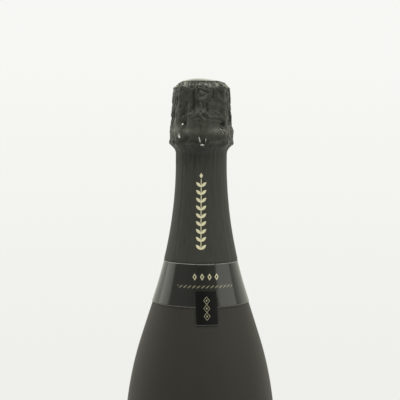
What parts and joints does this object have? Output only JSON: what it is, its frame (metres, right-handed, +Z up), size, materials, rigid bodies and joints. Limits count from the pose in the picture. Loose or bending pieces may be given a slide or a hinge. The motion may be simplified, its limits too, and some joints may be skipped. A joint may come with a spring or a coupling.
{
  "type": "sparkling wine bottle",
  "caption": "Black frosted glass bottle for sparkling wine, closed by a mushroom cork under a wire cage, with a tear-off foil hood, a neck foil and paper labels.",
  "frame": {"origin": "middle of the base, on the surface that the bottle stands on", "axes": "+Z up along the bottle's axis, -Y towards the front of the labels"},
  "size_m": [0.0882, 0.0892, 0.318],
  "materials": {
    "frosted_glass": "matt black, frosted outside",
    "foil": "crinkled, satin black lacquer with gold ornament",
    "gloss_paper": "gloss black paper with gold ornament",
    "matt_paper": "matt black paper with gold ornament",
    "pressed_cork": "pressed cork grains",
    "natural_cork": "natural cork",
    "cap_metal": "lacquered stamped steel",
    "cage_wire": "galvanised wire"
  },
  "bodies": {
    "bottle": {"bottle_glass": "frosted_glass", "neck_foil": "foil", "collar_label": "gloss_paper", "front_label": "matt_paper", "back_label": "matt_paper"},
    "stopper": {"cork_body": "pressed_cork", "cork_disc_upper": "natural_cork", "cork_disc_lower": "natural_cork"},
    "muselet": {"metal_cap": "cap_metal", "cage_ring": "cage_wire", "cage_leg_1": "cage_wire", "cage_leg_2": "cage_wire", "cage_leg_3": "cage_wire", "cage_leg_4": "cage_wire", "cage_belt": "cage_wire"},
    "key": {"key_stem": "cage_wire"},
    "turner": {"key_loop": "cage_wire"},
    "hood": {"hood_foil": "foil", "hood_top_disc": "foil"},
    "tab": {"tear_tab": "foil"}
  },
  "joints": [
    {"name": "stopper_pull", "type": "slide", "parent": "bottle", "child": "stopper", "axis": [0, 0, 1], "range_m": [0, 0.06]},
    {"name": "muselet_lift", "type": "slide", "parent": "stopper", "child": "muselet", "axis": [0, 0, 1], "range_m": [0, 0.045], "deforming": ["cage_leg_1", "cage_leg_2", "cage_leg_3", "cage_leg_4", "cage_belt"]},
    {"name": "hood_lift", "type": "slide", "parent": "muselet", "child": "hood", "axis": [0, 0, 1], "range_m": [0, 0.06]},
    {"name": "key_swing", "type": "hinge", "parent": "muselet", "child": "key", "pos_m": [0, -0.0186, 0.2811], "axis": [1, 0, 0], "range_deg": [0, 95], "deforming": ["key_stem"]},
    {"name": "key_turn", "type": "hinge", "parent": "key", "child": "turner", "pos_m": [0, -0.0186, 0.2851], "axis": [0, 0, 1], "range_deg": [0, 1080], "deforming": ["key_loop"]},
    {"name": "tab_lift", "type": "hinge", "parent": "hood", "child": "tab", "pos_m": [0, 0.0185, 0.2802], "axis": [-1, 0, 0], "range_deg": [0, 150]}
  ],
  "couplings": [
    {"joint": "key_swing", "follows": "hood_lift", "rad_per_m": 27.6},
    {"joint": "key_turn", "follows": "hood_lift", "rad_per_m": 314}
  ]
}
